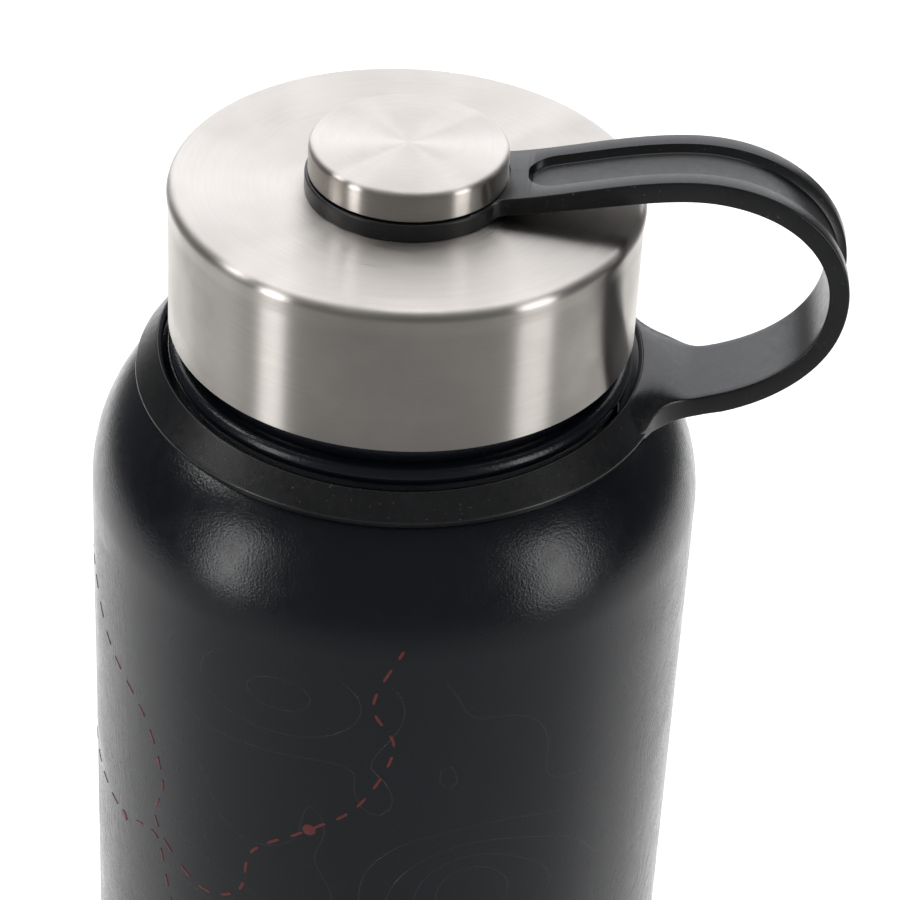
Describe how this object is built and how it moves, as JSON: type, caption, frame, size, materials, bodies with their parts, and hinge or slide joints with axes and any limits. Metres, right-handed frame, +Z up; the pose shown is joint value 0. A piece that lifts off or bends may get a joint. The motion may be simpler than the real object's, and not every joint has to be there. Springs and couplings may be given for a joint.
{
  "type": "insulated water bottle",
  "caption": "Wide-mouth insulated water bottle: black double-wall steel body, brushed steel screw cap with swivel knob, and black rubber carry strap from knob to neck collar.",
  "frame": {"origin": "centre of the base, within a millimetre of the plane that the bottle stands on", "axes": "+Z up along the bottle, +X roughly towards the strap's loop, -Y towards the viewer"},
  "size_m": [0.1097, 0.091, 0.2453],
  "materials": {
    "powder_coat": "black powder coat with a fine pebbled grain",
    "brushed_steel": "circular brushed, warm satin",
    "bare_steel": "plain electropolished steel",
    "black_rubber": "matte moulded rubber",
    "black_plastic": "moulded polypropylene",
    "clear_silicone": "translucent silicone",
    "white_foam": "closed-cell foam",
    "seal_resin": "hardened seal",
    "getter_alloy": "pressed metal pellet"
  },
  "bodies": {
    "bottle": {"outer_shell": "powder_coat", "outer_base": "powder_coat", "base_cover": "powder_coat", "vacuum_seal": "seal_resin", "getter": "getter_alloy", "inner_liner": "bare_steel", "liner_bottom": "bare_steel"},
    "eyelet_slip": {"eyelet_washer": "black_plastic"},
    "cap": {"cap_shell": "brushed_steel", "cap_insert": "black_plastic", "cap_gasket": "clear_silicone", "plug_cover": "black_plastic", "cap_foam": "white_foam", "knob_button": "brushed_steel", "knob_core": "black_plastic", "knob_screw": "bare_steel", "knob_washer": "bare_steel"},
    "strap_top": {"strap_upper": "black_rubber"},
    "strap_bottom": {"strap_lower": "black_rubber"}
  },
  "joints": [
    {"name": "cap_lift", "type": "slide", "parent": "bottle", "child": "eyelet_slip", "axis": [0, 0, 1], "range_m": [0, 0.0201]},
    {"name": "cap_turn", "type": "hinge", "parent": "eyelet_slip", "child": "cap", "pos_m": [0, 0, 0.232], "axis": [0, 0, 1], "range_deg": [0, 1440]},
    {"name": "strap_swivel", "type": "hinge", "parent": "eyelet_slip", "child": "strap_top", "pos_m": [0, 0, 0.238], "axis": [0, 0, 1], "continuous": true},
    {"name": "strap_flex", "type": "slide", "parent": "strap_top", "child": "strap_bottom", "axis": [0, 0, 1], "range_m": [-0.0201, 0]}
  ],
  "couplings": [
    {"joint": "cap_lift", "follows": "cap_turn", "m_per_rad": 0.00079577},
    {"joint": "strap_flex", "follows": "cap_turn", "m_per_rad": -0.00079577}
  ]
}
